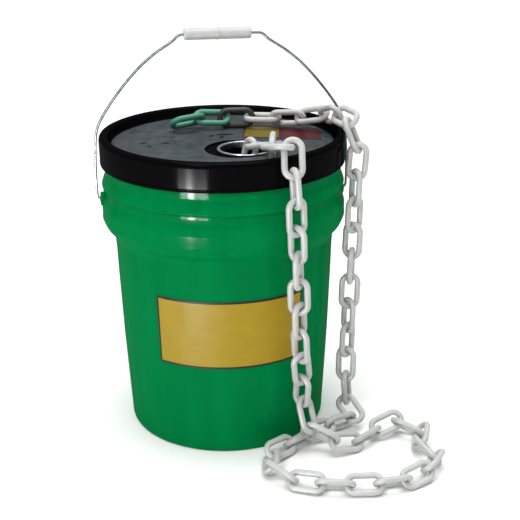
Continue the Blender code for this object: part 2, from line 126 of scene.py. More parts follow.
# Ears: profile about the pivot in mm, how far out they start, and the two ribs beside each
EAR_PROFILE = (
    (2.3, 0.0, 0.0), (9.0, 0.0, 0.0), (9.0, 8.6, 1.2), (6.4, 9.6, 0.8), (5.6, 8.8, 0.4),
    (4.2, 8.8, 0.4), (3.6, 9.9, 0.5), (2.5, 9.9, 0.4), (2.3, 0.0, 0.0),
)
EAR_SEAT = 148.6 * MM
RIB_OFFSETS = (-13.0 * MM, 13.0 * MM)
RIB_RADIUS = 156.4 * MM
RIB_HALF = 1.0 * MM
RIB_SECTION = ((149.0, 309.5), (154.6, 309.5), (154.0, 325.5), (149.0, 325.5))

# Hole in the lid, and the hollow round its ring, which is widest towards the back left
LID_HOLE = 33.0 * MM
LID_CUT_LOW = 370.0 * MM
LID_CUT_HIGH = 380.0 * MM
HOLLOW_INNER = 35.6 * MM
HOLLOW_OUTER = 43.4 * MM
HOLLOW_SHIFT = 7.6 * MM
HOLLOW_TOWARDS = math.radians(160.0) + FRONT_TURN
HOLLOW_FLOOR = 375.4 * MM
HOLLOW_STEP = 376.6 * MM
RING_PROFILE = (
    (31.0, 371.0, 0.0), (32.4, 371.0, 0.4), (32.4, 377.3, 0.3), (35.5, 377.3, 0.6),
    (35.2, 378.9, 1.0), (33.2, 379.3, 0.9), (31.2, 378.6, 0.8), (31.0, 371.0, 0.0),
)

# Links: radius of the crown's centre line, length of the straight between the crowns, and
# height of the ridge that the mould leaves
LINK_CROWN = 10.2 * MM
LINK_SPAN = 22.8 * MM
PARTING_RIDGE = 0.12 * MM

# Links that hang in the hole: middle in mm, long axis and face, square to the pail's front
HOLE_LINKS = (
    ((32.0, -49.8, 369.0), (-0.207, 0.16, -0.965), (-0.837, -0.539, 0.091)),
    ((28.2, -46.9, 334.5), (-0.019, 0.074, -0.997), (0.534, -0.842, -0.073)),
)

# Heap in the pail: its outline in mm, the mound on top and the loose links on the mound
HEAP_OUTLINE = ((0.0, 6.8), (124.0, 6.8), (128.4, 12.0), (137.4, 240.0), (138.0, 256.0),
                (144.0, 277.0))
HEAP_PLACE = (31.0, -49.0)
HEAP_RADIUS = 145.0 * MM
HEAP_SHOULDER = 275.0 * MM
HEAP_RISE = 28.0 * MM
HEAP_ROUNDING = 0.8
HEAP_ROWS = 12
HEAP_BUMPS = 2.0 * MM
LOOSE_LINKS = 150
LOOSE_REACH = 120.0 * MM
LOOSE_SPREAD = 125.0 * MM

# Studio lights: name, place, aim, size in metres, power in watts, and if it lights matt surfaces
STUDIO_LIGHTS = (
    ("key_softbox", (-1.0, -1.5, 1.7), (0.0, 0.0, 0.25), (0.6, 0.4), 17.0, True),
    ("top_softbox", (0.0, 0.5, 2.2), (0.0, 0.0, 0.2), (2.4, 2.4), 12.0, True),
    ("low_card", (-0.66, -0.93, 0.035), (-0.1, -0.05, 0.36), (0.5, 0.04), 17.0, False),
    ("spot_card", (-0.69, -0.88, 0.04), (-0.1, -0.05, 0.36), (0.1, 0.04), 14.0, False),
)
OVERHEAD_POWER = 2.5
OVERHEAD_SPREAD = math.radians(50.0)
SKY_STRENGTH = 0.38
FLOOR_REACH = 40.0

# Camera, worked out from the photograph
CAMERA_PLACE = (AXIS_X - 0.1344, AXIS_Y - 1.2578, 0.70035)
CAMERA_TURN = math.radians(-6.1)
CAMERA_PAN = 0.036905
CAMERA_PITCH = 0.36755
CAMERA_ROLL = -0.00601
CAMERA_LENS = 70.48
CAMERA_SENSOR = 36.0
CAMERA_CLIP = 100.0


def linear(code):
    """A linear colour with alpha from an sRGB hex value."""
    parts = [int(code[k:k + 2], 16) / 255 for k in (1, 3, 5)]
    flat = [p / 12.92 if p <= 0.04045 else ((p + 0.055) / 1.055) ** 2.4 for p in parts]
    return tuple(flat) + (1.0,)


def per_mm(size):
    """Noise scale for a feature of that size in mm, where the coordinates are in metres."""
    return 1000.0 / size


class PailSettings(PropertyGroup):
    pail_colour: FloatVectorProperty(
        name="Pail", description="Moulded green of the pail", subtype="COLOR", size=4,
        min=0.0, max=1.0, default=linear("#00763D"))
    lid_colour: FloatVectorProperty(
        name="Lid", description="Moulded black of the lid", subtype="COLOR", size=4,
        min=0.0, max=1.0, default=linear("#060607"))
    chain_colour: FloatVectorProperty(
        name="Chain", description="Moulded white of the chain", subtype="COLOR", size=4,
        min=0.0, max=1.0, default=linear("#BCBDBB"))
    end_colour: FloatVectorProperty(
        name="End link", description="Moulded teal of the strand's free end", subtype="COLOR",
        size=4, min=0.0, max=1.0, default=linear("#438870"))
    label_colour: FloatVectorProperty(
        name="Label", description="Yellow of the bare label film", subtype="COLOR", size=4,
        min=0.0, max=1.0, default=linear("#A3881C"))
    turn_sides: IntProperty(
        name="Sides", description="Sides of each round moulding", default=192, min=48, max=256)
    stock: FloatProperty(
        name="Link stock", description="Thickness of the bar that a link is made of",
        unit="LENGTH", default=7.6 * MM, min=6.0 * MM, max=7.7 * MM)
    wire: FloatProperty(
        name="Bail wire", description="Diameter of the bail's wire", unit="LENGTH",
        default=3.2 * MM, min=2.5 * MM, max=3.6 * MM)


def node(tree, kind, values=None, links=None):
    """Adds a node, sets the values named, and links the sockets named to it."""
    made = tree.nodes.new(kind)
    for key, value in (values or {}).items():
        if isinstance(key, str) and hasattr(made, key):
            setattr(made, key, value)
        else:
            made.inputs[key].default_value = value
    for key, source in (links or {}).items():
        tree.links.new(source, made.inputs[key])
    return made


def blank(name):
    """A new material with its own tree, its shader and its object coordinates."""
    made = bpy.data.materials.new(name)
    made.use_nodes = True
    tree = made.node_tree
    shader = tree.nodes["Principled BSDF"]
    place = node(tree, "ShaderNodeTexCoord").outputs["Object"]
    return made, tree, shader, place


def set_shader(shader, **values):
    """Sets the shader's own sockets."""
    for key, value in values.items():
        shader.inputs[key.replace("_", " ")].default_value = value


def ramp(tree, source, stops):
    """A colour ramp between the stops given as (place, colour)."""
    made = node(tree, "ShaderNodeValToRGB", links={"Fac": source})
    points = made.color_ramp.elements
    points[0].position, points[0].color = stops[0]
    points[1].position, points[1].color = stops[-1]
    for place, colour in stops[1:-1]:
        points.new(place).color = colour
    return made.outputs["Color"]


def shade(colour, factor):
    """A colour made lighter or darker."""
    return tuple(min(1.0, c * factor) for c in colour[:3]) + (1.0,)


def level(value):
    """A grey for a ramp that drives a plain number."""
    return (value, value, value, 1.0)


def green_polyethylene(colour):
    """High density polyethylene, injection moulded: soft broad highlights over a faint
    orange peel, flow streaks running up from the gate, and pale rubbed scratches."""
    made, tree, shader, place = blank("green_polyethylene_moulded")
    streak_place = node(tree, "ShaderNodeMapping", {"Scale": (1.0, 1.0, 0.12)}, {"Vector": place})
    streaks = node(tree, "ShaderNodeTexNoise", {"Scale": per_mm(24.0), "Detail": 5.0},
                   {"Vector": streak_place.outputs["Vector"]}).outputs["Fac"]
    tone = ramp(tree, streaks, ((0.3, shade(colour, 0.9)), (0.7, shade(colour, 1.08))))
    scuff_place = node(tree, "ShaderNodeMapping",
                       {"Rotation": (0.3, 0.5, 0.2), "Scale": (1.0, 0.08, 1.0)}, {"Vector": place})
    scuffs = node(tree, "ShaderNodeTexNoise",
                  {"Scale": per_mm(2.2), "Detail": 3.0, "Roughness": 0.7},
                  {"Vector": scuff_place.outputs["Vector"]}).outputs["Fac"]
    marks = ramp(tree, scuffs, ((0.66, level(0.0)), (0.74, level(1.0))))
    rubbed = node(tree, "ShaderNodeTexNoise", {"Scale": per_mm(60.0), "Detail": 2.0},
                  {"Vector": place}).outputs["Fac"]
    where = ramp(tree, rubbed, ((0.5, level(0.0)), (0.68, level(0.5))))
    worn = node(tree, "ShaderNodeMath", {"operation": "MULTIPLY"}, {0: marks, 1: where})
    pale = node(tree, "ShaderNodeMix",
                {"data_type": "RGBA", 7: shade(colour, 1.9)},
                {0: worn.outputs["Value"], 6: tone})
    tree.links.new(pale.outputs[2], shader.inputs["Base Color"])
    gloss = ramp(tree, streaks, ((0.2, level(0.3)), (0.8, level(0.42))))
    tree.links.new(gloss, shader.inputs["Roughness"])
    peel = node(tree, "ShaderNodeTexNoise", {"Scale": per_mm(1.6), "Detail": 2.0},
                {"Vector": place}).outputs["Fac"]
    waves = node(tree, "ShaderNodeTexNoise", {"Scale": per_mm(45.0), "Detail": 1.0},
                 {"Vector": place}).outputs["Fac"]
    fine = node(tree, "ShaderNodeBump", {"Strength": 0.12, "Distance": 0.06 * MM}, {"Height": peel})
    broad = node(tree, "ShaderNodeBump", {"Strength": 0.25, "Distance": 1.0 * MM},
                 {"Height": waves, "Normal": fine.outputs["Normal"]})
    tree.links.new(broad.outputs["Normal"], shader.inputs["Normal"])
    set_shader(shader, IOR=1.53, Specular_IOR_Level=0.0, Coat_Weight=0.03, Coat_Roughness=0.1)
    return made


def black_polyethylene(colour):
    """Low density polyethylene with carbon black, moulded in a polished tool: a deep gloss
    that mirrors the room in the flat panel, under hairline scratches and a settled grey film on
    the upward-facing panel, which is partly a dusty coating and partly painted sheen. The rim,
    the hollow and the raised marks stay clean and deep black, without the film."""
    made, tree, shader, place = blank("black_polyethylene_polished")
    hair_place = node(tree, "ShaderNodeMapping",
                      {"Rotation": (0.0, 0.0, 0.6), "Scale": (0.05, 1.0, 1.0)}, {"Vector": place})
    hairs = node(tree, "ShaderNodeTexNoise", {"Scale": per_mm(1.2), "Detail": 4.0},
                 {"Vector": hair_place.outputs["Vector"]}).outputs["Fac"]
    # Cloud for the grey film on the panel, which is partly dusty and partly painted sheen, and for
    # its roughness
    dust_and_sheen_cloud = node(tree, "ShaderNodeTexNoise",
                {"Scale": per_mm(18.0), "Detail": 8.0, "Roughness": 0.65},
                {"Vector": place}).outputs["Fac"]
    facing = node(tree, "ShaderNodeNewGeometry").outputs["Normal"]
    upward = node(tree, "ShaderNodeSeparateXYZ", links={"Vector": facing}).outputs["Z"]
    height = node(tree, "ShaderNodeSeparateXYZ", links={"Vector": place}).outputs["Z"]
    # Painted sheen: the grey film goes only on upward-facing faces within 0.3 mm of the panel's
    # top. The flat panel reads grey like its sheen, and the rim, the hollow and the raised marks
    # stay black
    inside = node(tree, "ShaderNodeMath", {"operation": "COMPARE", 1: PANEL_TOP, 2: 0.3 * MM},
                  {0: height}).outputs[0]
    on_panel = node(tree, "ShaderNodeMath", {"operation": "MULTIPLY"}, {0: upward, 1: inside})
    settled = ramp(tree, on_panel.outputs[0],
                   ((0.7, level(0.0)), (0.95, level(1.0))))
    polish = ramp(tree, on_panel.outputs[0],
                  ((0.7, level(0.04)), (0.95, level(0.19))))
    tree.links.new(polish, shader.inputs["Coat Weight"])
    # Grey of the film on the panel: partly a dusty coating, partly the panel's painted sheen
    dust_and_sheen_tone = ramp(tree, dust_and_sheen_cloud, ((0.3, linear("#33373A")), (0.75, linear("#4C5255"))))
    grey = node(tree, "ShaderNodeMix", {"data_type": "RGBA", 6: colour},
                {0: settled, 7: dust_and_sheen_tone})
    tree.links.new(grey.outputs[2], shader.inputs["Base Color"])
    gloss = ramp(tree, dust_and_sheen_cloud, ((0.3, level(0.16)), (0.75, level(0.34))))
    tree.links.new(gloss, shader.inputs["Roughness"])
    scratched = node(tree, "ShaderNodeBump", {"Strength": 0.06, "Distance": 0.05 * MM},
                     {"Height": hairs})
    sink = node(tree, "ShaderNodeTexNoise", {"Scale": per_mm(38.0), "Detail": 1.0},
                {"Vector": place}).outputs["Fac"]
    waved = node(tree, "ShaderNodeBump", {"Strength": 0.3, "Distance": 0.9 * MM},
                 {"Height": sink, "Normal": scratched.outputs["Normal"]})
    tree.links.new(waved.outputs["Normal"], shader.inputs["Normal"])
    set_shader(shader, IOR=1.52, Specular_IOR_Level=0.0, Coat_Roughness=0.12)
    return made


def chain_polyethylene(name, colour, milky):
    """Polyethylene, moulded link by link: a milky, slightly waxy surface with a fine matt
    grain, a faintly cloudy tone that differs from link to link, and grey handling marks."""
    made, tree, shader, place = blank(name)
    chance = node(tree, "ShaderNodeObjectInfo").outputs["Random"]
    shift = node(tree, "ShaderNodeVectorMath", {"operation": "SCALE", 0: (0.31, 0.17, 0.23)},
                 {"Scale": chance}).outputs["Vector"]
    own = node(tree, "ShaderNodeVectorMath", {"operation": "ADD"},
               {0: place, 1: shift}).outputs["Vector"]
    cloud = node(tree, "ShaderNodeTexNoise", {"Scale": per_mm(14.0), "Detail": 6.0},
                 {"Vector": own}).outputs["Fac"]
    tone = ramp(tree, cloud, ((0.3, shade(colour, 0.93)), (0.7, shade(colour, 1.03))))
    rub = node(tree, "ShaderNodeTexNoise", {"Scale": per_mm(3.0), "Detail": 6.0, "Roughness": 0.7},
               {"Vector": own}).outputs["Fac"]
    mask = ramp(tree, rub, ((0.6, level(0.0)), (0.78, level(0.35))))
    marked = node(tree, "ShaderNodeMix", {"data_type": "RGBA", 7: shade(colour, 0.72)},
                  {0: mask, 6: tone})
    tree.links.new(marked.outputs[2], shader.inputs["Base Color"])
    gloss = ramp(tree, cloud, ((0.2, level(0.4)), (0.8, level(0.55))))
    tree.links.new(gloss, shader.inputs["Roughness"])
    grain = node(tree, "ShaderNodeTexNoise", {"Scale": per_mm(0.7), "Detail": 3.0},
                 {"Vector": own}).outputs["Fac"]
    matt = node(tree, "ShaderNodeBump", {"Strength": 0.2, "Distance": 0.05 * MM}, {"Height": grain})
    tree.links.new(matt.outputs["Normal"], shader.inputs["Normal"])
    set_shader(shader, IOR=1.51, Subsurface_Weight=milky, Subsurface_Scale=3.0 * MM)
    return made


def drawn_wire():
    """Low carbon steel, drawn and galvanised: dull zinc grey with fine drawn lines and small
    bright and dark spangles of zinc."""
    made, tree, shader, place = blank("galvanised_steel_drawn")
    line_place = node(tree, "ShaderNodeMapping", {"Scale": (1.0, 1.0, 0.06)}, {"Vector": place})
    lines = node(tree, "ShaderNodeTexNoise", {"Scale": per_mm(0.5), "Detail": 3.0},
                 {"Vector": line_place.outputs["Vector"]}).outputs["Fac"]
    spangle = node(tree, "ShaderNodeTexVoronoi", {"Scale": per_mm(2.5)},
                   {"Vector": place}).outputs["Color"]
    grey = node(tree, "ShaderNodeSeparateColor", links={"Color": spangle}).outputs["Red"]
    tone = ramp(tree, grey, ((0.0, linear("#5E6063")), (1.0, linear("#84878B"))))
    tree.links.new(tone, shader.inputs["Base Color"])
    gloss = ramp(tree, lines, ((0.3, level(0.3)), (0.7, level(0.5))))
    tree.links.new(gloss, shader.inputs["Roughness"])
    drawn = node(tree, "ShaderNodeBump", {"Strength": 0.3, "Distance": 0.05 * MM},
                 {"Height": lines})
    tree.links.new(drawn.outputs["Normal"], shader.inputs["Normal"])
    set_shader(shader, Metallic=1.0)
    return made


def plated_steel():
    """Mild steel, pressed and bright zinc plated: a clear cold shine with a fine pressed grain
    and a little bloom."""
    made, tree, shader, place = blank("zinc_plated_steel_pressed")
    bloom = node(tree, "ShaderNodeTexNoise", {"Scale": per_mm(6.0), "Detail": 5.0},
                 {"Vector": place}).outputs["Fac"]
    tone = ramp(tree, bloom, ((0.3, linear("#AEB2C2")), (0.7, linear("#DEE1EC"))))
    tree.links.new(tone, shader.inputs["Base Color"])
    gloss = ramp(tree, bloom, ((0.3, level(0.14)), (0.8, level(0.3))))
    tree.links.new(gloss, shader.inputs["Roughness"])
    fine = node(tree, "ShaderNodeTexNoise", {"Scale": per_mm(0.8), "Detail": 2.0},
                {"Vector": place}).outputs["Fac"]
    pressed = node(tree, "ShaderNodeBump", {"Strength": 0.1, "Distance": 0.04 * MM},
                   {"Height": fine})
    tree.links.new(pressed.outputs["Normal"], shader.inputs["Normal"])
    set_shader(shader, Metallic=1.0)
    return made


def vinyl_film(name, middle, edge, size, line, cloud, split=None):
    """Vinyl film, printed and laminated: an even colour with a satin sheen, a darker printed
    line inside its edge, small bubbles under it and slight fading. The size, the line and the
    width of a faded cloud are in mm; the film's own coordinates run from 0 to 1."""
    made, tree, shader, _ = blank(name)
    flat = node(tree, "ShaderNodeUVMap", {"uv_map": "film"}).outputs["UV"]
    parts = node(tree, "ShaderNodeSeparateXYZ", links={"Vector": flat})
    sides = []
    for axis in ("X", "Y"):
        centred = node(tree, "ShaderNodeMath", {"operation": "SUBTRACT", 1: 0.5},
                       {0: parts.outputs[axis]})
        away = node(tree, "ShaderNodeMath", {"operation": "ABSOLUTE"}, {0: centred.outputs[0]})
        share = 0.5 - line["XY".index(axis)] / size["XY".index(axis)]
        sides.append(node(tree, "ShaderNodeMath", {"operation": "GREATER_THAN", 1: share},
                          {0: away.outputs[0]}).outputs[0])
    border = node(tree, "ShaderNodeMath", {"operation": "MAXIMUM"}, {0: sides[0], 1: sides[1]})
    fade = node(tree, "ShaderNodeTexNoise", {"Scale": size[0] / cloud, "Detail": 6.0},
                {"Vector": flat}).outputs["Fac"]
    tone = ramp(tree, fade, ((0.3, shade(middle, 0.94)), (0.7, shade(middle, 1.05))))
    if split:
        right = node(tree, "ShaderNodeMath", {"operation": "GREATER_THAN", 1: split[0]},
                     {0: parts.outputs["X"]}).outputs[0]
        both = node(tree, "ShaderNodeMix", {"data_type": "RGBA", 7: split[1]}, {0: right, 6: tone})
        tone = both.outputs[2]
    printed = node(tree, "ShaderNodeMix", {"data_type": "RGBA", 7: edge},
                   {0: border.outputs[0], 6: tone})
    tree.links.new(printed.outputs[2], shader.inputs["Base Color"])
    bubbles = node(tree, "ShaderNodeTexNoise",
                   {"Scale": size[0] / (cloud * BUBBLE_SHARE), "Detail": 2.0},
                   {"Vector": flat}).outputs["Fac"]
    lifted = node(tree, "ShaderNodeBump", {"Strength": 0.12, "Distance": 0.1 * MM},
                  {"Height": bubbles})
    tree.links.new(lifted.outputs["Normal"], shader.inputs["Normal"])
    gloss = ramp(tree, fade, ((0.3, level(0.33)), (0.7, level(0.45))))
    tree.links.new(gloss, shader.inputs["Roughness"])
    set_shader(shader, IOR=1.5, Specular_IOR_Level=0.15)
    return made


def pale_floor():
    """Painted board, rolled: an even pale matt ground with a very slight tooth."""
    made, tree, shader, place = blank("pale_board_painted")
    tooth = node(tree, "ShaderNodeTexNoise", {"Scale": per_mm(4.0), "Detail": 4.0},
                 {"Vector": place}).outputs["Fac"]
    tone = ramp(tree, tooth, ((0.3, linear("#F6F6F6")), (0.7, linear("#FAFAFA"))))
    tree.links.new(tone, shader.inputs["Base Color"])
    rolled = node(tree, "ShaderNodeBump", {"Strength": 0.05, "Distance": 0.1 * MM},
                  {"Height": tooth})
    tree.links.new(rolled.outputs["Normal"], shader.inputs["Normal"])
    set_shader(shader, Roughness=0.75)
    return made


def rounded(points, steps=5):
    """A line of (x, y, rounding) points in mm with its corners rounded, in metres."""
    out = []
    for k, (x, y, size) in enumerate(points):
        if size <= 0.0 or k in (0, len(points) - 1):
            out.append(Vector((x, y)) * MM)
            continue
        here = Vector((x, y))
        back = Vector(points[k - 1][:2]) - here
        on = Vector(points[k + 1][:2]) - here
        reach = min(size, back.length * 0.48, on.length * 0.48)
        first, last = here + back.normalized() * reach, here + on.normalized() * reach
        for step in range(steps + 1):
            t = step / steps
            spot = first * (1 - t) ** 2 + here * 2 * t * (1 - t) + last * t ** 2
            out.append(spot * MM)
    return out


def piece(name, mesh, finish, angle=SHARP_EDGE):
    """A shown object from a bmesh, smooth but for edges sharper than the angle in degrees."""
    bmesh.ops.recalc_face_normals(mesh, faces=mesh.faces[:])
    data = bpy.data.meshes.new(name)
    mesh.to_mesh(data)
    mesh.free()
    data.shade_smooth()
    data.set_sharp_from_angle(angle=math.radians(angle))
    data.materials.append(finish)
    made = bpy.data.objects.new(name, data)
    bpy.context.scene.collection.objects.link(made)
    return made


def turn_profile(mesh, line, sides, centre=(0.0, 0.0), wave=None):
    """Turns a line of (radius, height) about a vertical axis. Ends on the axis close to a point."""
    rings = []
    for spot in line:
        if spot.x < 1e-6:
            rings.append([mesh.verts.new((centre[0], centre[1], spot.y))])
            continue
        ring = []
        for s in range(sides):
            angle = 2 * math.pi * s / sides
            r = spot.x + (wave(angle, spot) if wave else 0.0)
            ring.append(mesh.verts.new((centre[0] + r * math.cos(angle),
                                        centre[1] + r * math.sin(angle), spot.y)))
        rings.append(ring)
    for low, high in zip(rings, rings[1:]):
        for s in range(sides):
            after = (s + 1) % sides
            if len(low) == 1:
                mesh.faces.new((low[0], high[after], high[s]))
            elif len(high) == 1:
                mesh.faces.new((low[s], low[after], high[0]))
            else:
                mesh.faces.new((low[s], low[after], high[after], high[s]))
    return rings


def tube(mesh, line, radius, sides):
    """A round bar along a line of points, closed at its ends."""
    rings = []
    normal = None
    for k, spot in enumerate(line):
        along = (line[min(k + 1, len(line) - 1)] - line[max(k - 1, 0)]).normalized()
        if normal is None:
            normal = along.orthogonal().normalized()
        normal = (normal - along * normal.dot(along)).normalized()
        side = along.cross(normal)
        ring = []
        for s in range(sides):
            angle = 2 * math.pi * s / sides
            out = normal * math.cos(angle) + side * math.sin(angle)
            ring.append(mesh.verts.new(spot + out * radius))
        rings.append(ring)
    for low, high in zip(rings, rings[1:]):
        for s in range(sides):
            after = (s + 1) % sides
            mesh.faces.new((low[s], low[after], high[after], high[s]))
    mesh.faces.new(rings[0])
    mesh.faces.new(rings[-1])


def cut(target, tool):
    """Cuts one object out of another for good, and removes the tool."""
    step = target.modifiers.new("cut", "BOOLEAN")
    step.operation = "DIFFERENCE"
    step.solver = "EXACT"
    step.object = tool
    view = bpy.context.evaluated_depsgraph_get()
    data = bpy.data.meshes.new_from_object(target.evaluated_get(view))
    old = target.data
    target.modifiers.clear()
    target.data = data
    bpy.data.meshes.remove(old)
    bpy.data.objects.remove(tool, do_unlink=True)


def front_point(angle, radius, height):
    """A place around the pail, by its angle from the pail's front towards its right."""
    turn = angle + FRONT_TURN
    return Vector((AXIS_X + radius * math.sin(turn), AXIS_Y - radius * math.cos(turn), height))


def wall_radius(height):
    """The pail's outer radius at a height on the wall that the label lies on."""
    line = rounded(PAIL_PROFILE[3:9])
    return float(np.interp(height, [p.y for p in line], [p.x for p in line]))


def film(name, corners, rows, columns, finish):
    """A thin printed film over a grid. corners(u, v) gives a point and its outward direction."""
    mesh = bmesh.new()
    layer = mesh.loops.layers.uv.new("film")
    top, under = [], []
    for k in range(columns + 1):
        for j in range(rows + 1):
            spot, outward = corners(k / columns, j / rows)
            top.append(mesh.verts.new(spot + outward * FILM_TOP))
            under.append(mesh.verts.new(spot + outward * FILM_UNDER))
    wide = rows + 1

    def face(verts, shares):
        made = mesh.faces.new(verts)
        for loop, share in zip(made.loops, shares):
            loop[layer].uv = share

    for k in range(columns):
        for j in range(rows):
            ids = (k * wide + j, (k + 1) * wide + j, (k + 1) * wide + j + 1, k * wide + j + 1)
            shares = [(n // wide / columns, n % wide / rows) for n in ids]
            face([top[n] for n in ids], shares)
            face([under[n] for n in reversed(ids)], list(reversed(shares)))
    for sheet in ([k * wide for k in range(columns + 1)],
                  [k * wide + rows for k in range(columns + 1)],
                  list(range(wide)), list(range(columns * wide, (columns + 1) * wide))):
        for a, b in zip(sheet, sheet[1:]):
            shares = [(n // wide / columns, n % wide / rows) for n in (a, b, b, a)]
            face([top[a], top[b], under[b], under[a]], shares)
    return piece(name, mesh, finish)


def ear(mesh, side):
    """A round ear boss with its hole, and the two thin ribs beside it."""
    first = len(mesh.verts)
    turn_profile(mesh, rounded(EAR_PROFILE), 48)
    mesh.verts.ensure_lookup_table()
    place = Matrix.Translation((AXIS_X + side * EAR_SEAT, AXIS_Y, PIVOT_HEIGHT))
    place = place @ Matrix.Rotation(side * math.pi / 2, 4, "Y")
    bmesh.ops.transform(mesh, matrix=place, verts=mesh.verts[first:])
    for offset in RIB_OFFSETS:
        turn = math.asin(offset / RIB_RADIUS)
        place = Matrix.Translation((AXIS_X, AXIS_Y, 0.0))
        place = place @ Matrix.Rotation((0.0 if side > 0 else math.pi) + turn, 4, "Z")
        near, far = [[mesh.verts.new(place @ Vector((x * MM, y, z * MM))) for x, z in RIB_SECTION]
                     for y in (-RIB_HALF, RIB_HALF)]
        mesh.faces.new(near)
        mesh.faces.new(far[::-1])
        for a in range(4):
            b = (a + 1) % 4
            mesh.faces.new((near[a], far[a], far[b], near[b]))


def front_rotated(x, y):
    """A place on the lid in mm, square to the pail's front, as a world place."""
    turned = Matrix.Rotation(FRONT_TURN, 3, "Z") @ Vector((x * MM, y * MM, 0.0))
    return turned + Vector((AXIS_X, AXIS_Y, 0.0))


def link_mesh(stock, crown_steps, straight_steps, sides):
    """One link as a bar round a long loop, with the mould's parting ridge on it."""
    line = []
    for side in (1, -1):
        for step in range(crown_steps + 1):
            angle = math.pi * step / crown_steps - math.pi / 2
            line.append(Vector((side * (LINK_SPAN / 2 + LINK_CROWN * math.cos(angle)),
                                side * LINK_CROWN * math.sin(angle), 0.0)))
        start = line[-1]
        end = Vector((-side * LINK_SPAN / 2, start.y, 0.0))
        for step in range(1, straight_steps):
            line.append(start.lerp(end, step / straight_steps))
    mesh = bmesh.new()
    rings = []
    count = len(line)
    for k, spot in enumerate(line):
        along = (line[(k + 1) % count] - line[k - 1]).normalized()
        outward = Vector((along.y, -along.x, 0.0))
        ring = []
        for s in range(sides):
            angle = 2 * math.pi * s / sides
            ridge = PARTING_RIDGE if s in (0, sides // 2) else 0.0
            flat = 1.0 - 0.03 * math.cos(2 * angle) ** 8
            r = stock / 2 * flat + ridge
            ring.append(mesh.verts.new(spot + outward * r * math.cos(angle)
                                       + Vector((0.0, 0.0, r * math.sin(angle)))))
        rings.append(ring)
    for k in range(count):
        low, high = rings[k], rings[(k + 1) % count]
        for s in range(sides):
            after = (s + 1) % sides
            mesh.faces.new((low[s], low[after], high[after], high[s]))
    return mesh


def link_place(name):
    """Where a CAD link is: its middle, its long axis, its width and its face."""
    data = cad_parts[name].data
    spots = np.array([v.co for v in data.vertices])
    spots = np.unique(spots.round(7), axis=0)
    middle = spots.mean(0)
    _, _, axes = np.linalg.svd(spots - middle)
    long_way, width = Vector(axes[0]), Vector(axes[1])
    face = long_way.cross(width)
    turn = Matrix((long_way, width, face)).transposed()
    return Matrix.Translation(Vector(middle)) @ turn.to_4x4()


def set_link(name, pattern, finish, place):
    """A link of its own from the pattern, with its place baked into its mesh."""
    data = pattern.copy()
    data.transform(place)
    data.materials[0] = finish
    link = bpy.data.objects.new(name, data)
    bpy.context.scene.collection.objects.link(link)
    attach(link, "pail")
    return link


class PAILCHAIN_OT_pail(Operator):
    """Turns the green pail with its foot ring, collar bands, rim and ears"""
    bl_idname = "pailchain.pail"
    bl_label = "Pail"

    def execute(self, context):
        settings = context.scene.pail_chain
        mesh = bmesh.new()
        turn_profile(mesh, rounded(PAIL_PROFILE, 4), settings.turn_sides, (AXIS_X, AXIS_Y))
        finish = green_polyethylene(settings.pail_colour)
        body = piece("pail_moulding", mesh, finish, 40.0)
        ears = bmesh.new()
        for side in (-1, 1):
            ear(ears, side)
        lugs = piece("pail_ears", ears, finish, 40.0)
        for made in (body, lugs):
            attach(made, "pail")
        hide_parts("pail")
        return {"FINISHED"}


class PAILCHAIN_OT_lid(Operator):
    """Turns the black lid with its rim and panel, and cuts its hole and the hollow beside it"""
    bl_idname = "pailchain.lid"
    bl_label = "Lid"

    def execute(self, context):
        settings = context.scene.pail_chain
        mesh = bmesh.new()
        turn_profile(mesh, rounded(LID_PROFILE, 4), settings.turn_sides, (AXIS_X, AXIS_Y))
        finish = black_polyethylene(settings.lid_colour)
        lid = piece("lid_moulding", mesh, finish)
        hole = bmesh.new()
        turn_profile(hole, [Vector((0.0, LID_CUT_LOW)), Vector((LID_HOLE, LID_CUT_LOW)),
                            Vector((LID_HOLE, LID_CUT_HIGH)), Vector((0.0, LID_CUT_HIGH))],
                     128, (HOLE_X, HOLE_Y))
        cut(lid, piece("hole_tool", hole, finish))

        def reach(angle, at):
            """How much further out the hollow's shifted edge lies than this point."""
            across = HOLLOW_SHIFT * math.sin(angle - HOLLOW_TOWARDS)
            edge = HOLLOW_SHIFT * math.cos(angle - HOLLOW_TOWARDS)
            edge += math.sqrt(HOLLOW_OUTER ** 2 - across ** 2)
            return edge - at.x if at.x > HOLLOW_INNER + MM else 0.0

        hollow = bmesh.new()
        line = [Vector(point) for point in (
            (HOLLOW_INNER, HOLLOW_FLOOR), (HOLLOW_OUTER - MM, HOLLOW_FLOOR),
            (HOLLOW_OUTER, HOLLOW_STEP), (HOLLOW_OUTER, LID_CUT_HIGH),
            (HOLLOW_INNER, LID_CUT_HIGH), (HOLLOW_INNER, HOLLOW_FLOOR))]
        turn_profile(hollow, line, 96, (HOLE_X, HOLE_Y), reach)
        bmesh.ops.remove_doubles(hollow, verts=hollow.verts[:], dist=1e-6)
        cut(lid, piece("hollow_tool", hollow, finish))
        lid.data.set_sharp_from_angle(angle=math.radians(SHARP_EDGE))
        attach(lid, "pail")
        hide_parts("lid")
        marks = bmesh.new()
        for x, y, length, width, turn in MOULD_MARKS:
            place = front_rotated(x, y)
            matrix = Matrix.Translation((place.x, place.y, PANEL_TOP))
            matrix = matrix @ Matrix.Rotation(math.radians(turn) + FRONT_TURN, 4, "Z")
            line = rounded(((0.0, -0.3, 0.0), (width, -0.3, 0.0), (width, 0.45, 0.4),
                            (0.0, 0.45, 0.0)))
            first = len(marks.verts)
            turn_profile(marks, line, 20)
            marks.verts.ensure_lookup_table()
            stretch = Matrix.Scale(length / width, 4, (1.0, 0.0, 0.0))
            bmesh.ops.transform(marks, matrix=matrix @ stretch, verts=marks.verts[first:])
        raised = piece("lid_mould_marks", marks, finish)
        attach(raised, "pail")
        return {"FINISHED"}


